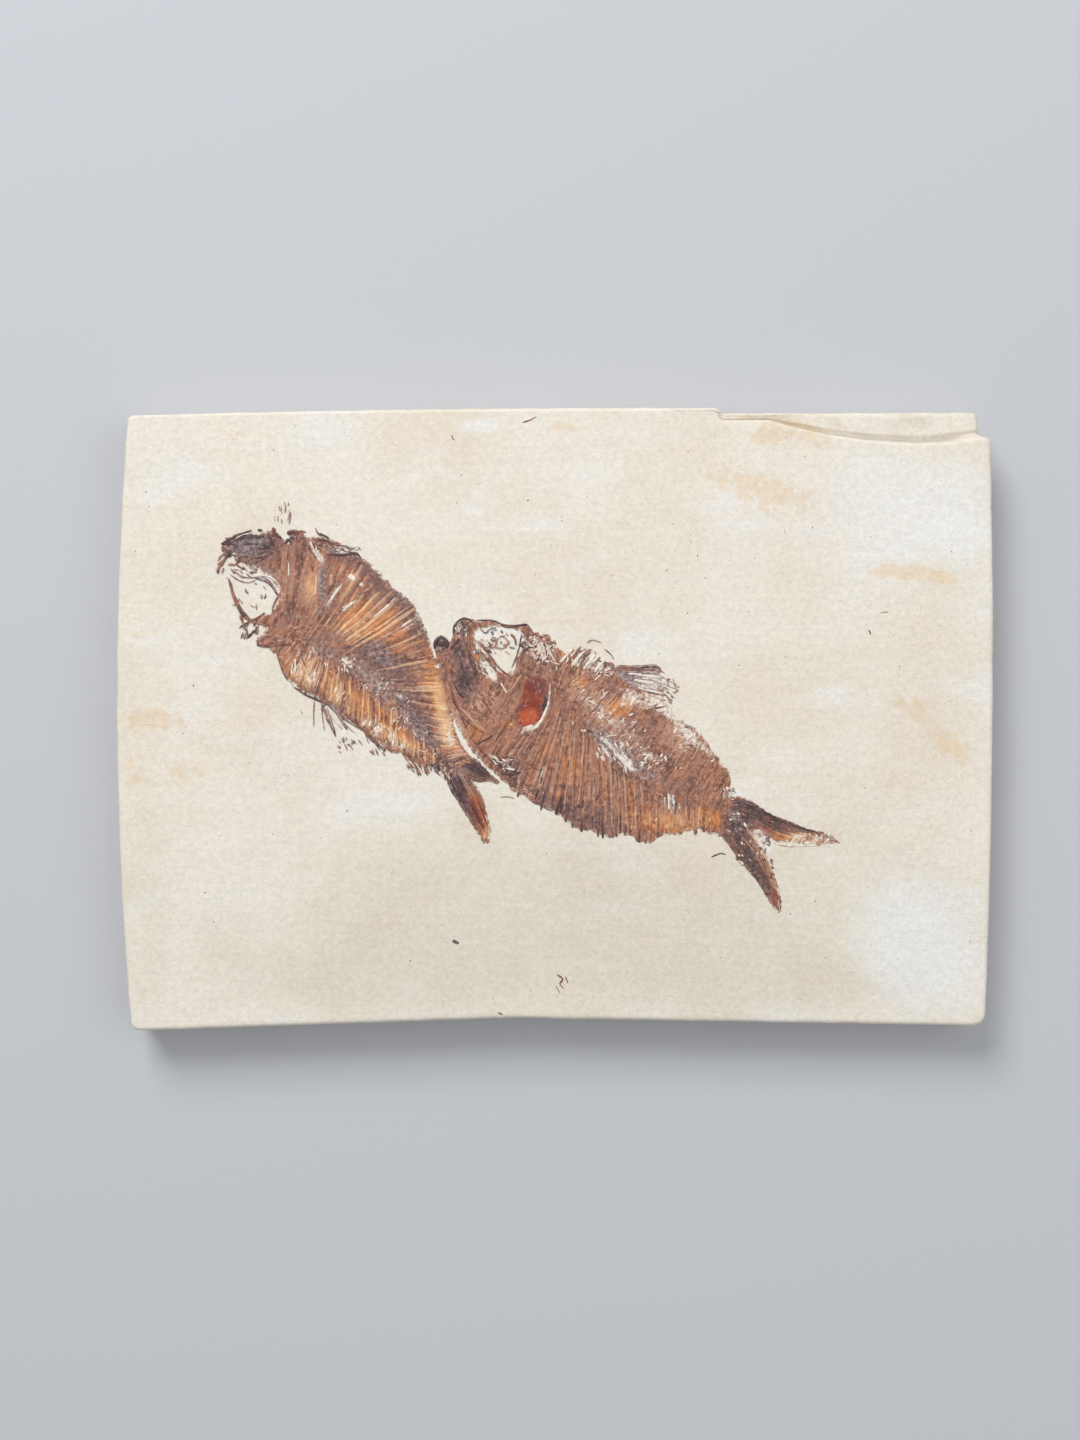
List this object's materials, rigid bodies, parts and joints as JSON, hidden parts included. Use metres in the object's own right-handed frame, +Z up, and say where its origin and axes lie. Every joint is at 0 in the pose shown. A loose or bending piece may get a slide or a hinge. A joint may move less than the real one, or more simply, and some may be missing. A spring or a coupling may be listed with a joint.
{
  "type": "fossil fish slab",
  "caption": "Flat rectangular slab of fine cream limestone with small fossil fish, showing brown bones, ribs, fins and forked tails, lying side by side on its upper face.",
  "frame": {"origin": "middle of the slab's flat underside, halfway along its length and its width", "axes": "+X along the slab's long side, from the heads of the fish towards their tails; +Y along its short side, towards the edge with the spalled corner; +Z up, out of the face with the fossils"},
  "size_m": [0.1524, 0.1083, 0.0103],
  "materials": {
    "limestone": "matte, fine grained, sawn and rubbed edges, with pale ochre stains",
    "fossil_bone": "dull, fine ridged bone in red-brown, orange and purple-brown, with cream stone between"
  },
  "bodies": {
    "root": {"limestone_slab": "limestone", "left_fish": "fossil_bone", "right_fish": "fossil_bone"}
  },
  "joints": []
}
